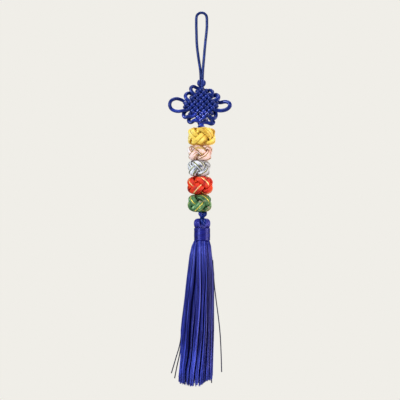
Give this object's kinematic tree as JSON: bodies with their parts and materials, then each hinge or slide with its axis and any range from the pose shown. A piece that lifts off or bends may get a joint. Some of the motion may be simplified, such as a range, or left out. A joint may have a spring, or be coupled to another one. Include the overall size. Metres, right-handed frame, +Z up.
{
  "type": "knotted tassel ornament",
  "caption": "Hanging ornament of one doubled cord: a loop, a flat endless knot with looped ears, a stack of interlaced fabric balls and a long silk tassel with a wrapped neck.",
  "frame": {"origin": "the inside of the top of the hanging loop, where a peg or hook bears", "axes": "+Z up, +X to the right as seen from the front, the front of the knot facing -Y"},
  "size_m": [0.0634, 0.028, 0.3716],
  "materials": {
    "cord": "satin",
    "tassel_silk": "satin",
    "yellow_fabric": "satin",
    "pink_fabric": "satin",
    "silver_fabric": "satin",
    "red_fabric": "satin",
    "green_fabric": "satin"
  },
  "bodies": {
    "root": {"hanging_loop": "cord", "top_knot": "cord", "endless_knot_right": "cord", "endless_knot_left": "cord", "yellow_ball": "yellow_fabric", "pink_ball": "pink_fabric", "silver_ball": "silver_fabric", "red_ball": "red_fabric", "green_ball": "green_fabric", "core_cords": "cord", "lower_knot": "cord", "tassel_threads": "tassel_silk", "tassel_band": "tassel_silk"}
  },
  "joints": []
}
